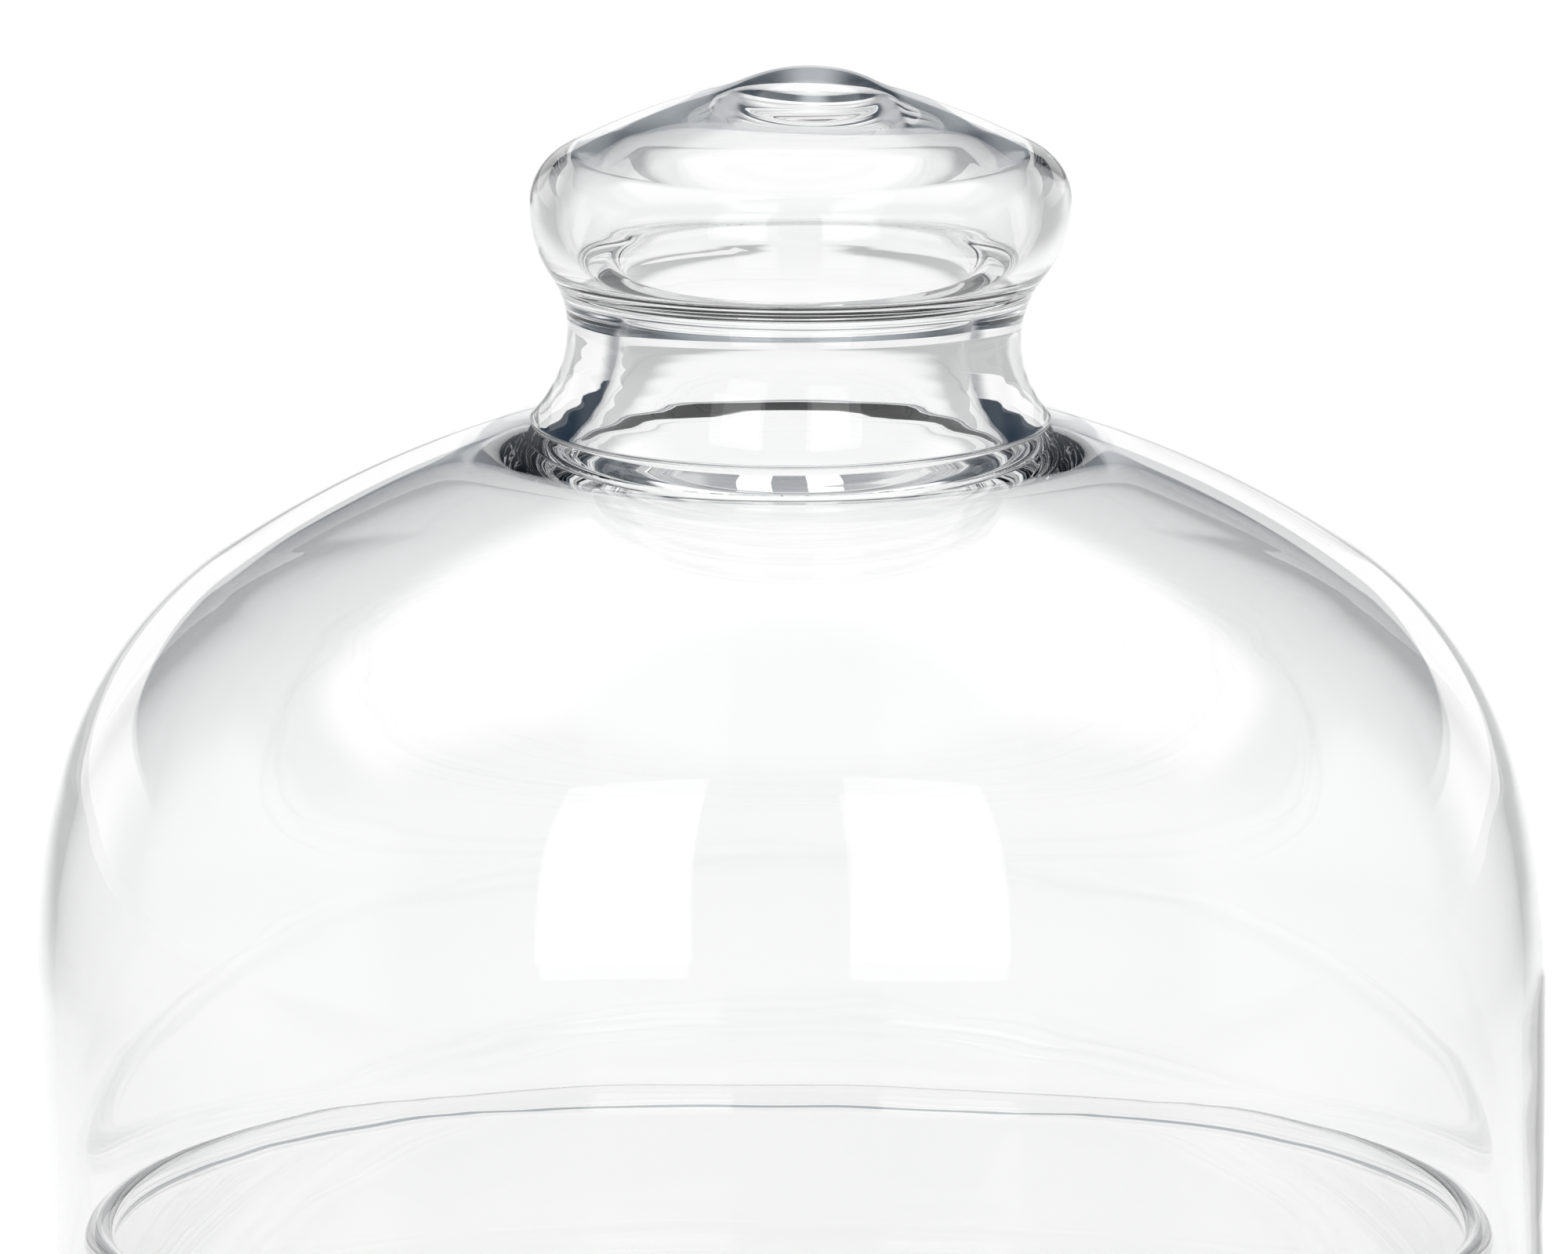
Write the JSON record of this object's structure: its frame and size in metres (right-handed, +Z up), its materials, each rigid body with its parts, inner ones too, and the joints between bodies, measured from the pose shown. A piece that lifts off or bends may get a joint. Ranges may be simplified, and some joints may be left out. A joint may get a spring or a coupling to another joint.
{
  "type": "bell jar dome",
  "caption": "Clear blown-glass bell jar with a waisted hollow knob, standing on the ledge of a round glass base around an upright rolled-edge collar; the bell lifts off.",
  "frame": {"origin": "centre of the underside of the base's foot ring, where the part stands on a table", "axes": "+Z up along the axis that the bell, the knob and the base share; the object is round, so +X and +Y are any two directions across it"},
  "size_m": [0.192, 0.192, 0.1636],
  "materials": {
    "bell_glass": "clear blown soda-lime glass, fire polished",
    "base_glass": "clear pressed soda-lime glass, polished"
  },
  "bodies": {
    "base": {"base_dish": "base_glass"},
    "dome": {"dome_shell": "bell_glass", "hollow_knob": "bell_glass"}
  },
  "joints": [
    {"name": "dome_lift", "type": "slide", "parent": "base", "child": "dome", "axis": [0, 0, 1], "range_m": [0, 0.2]}
  ]
}
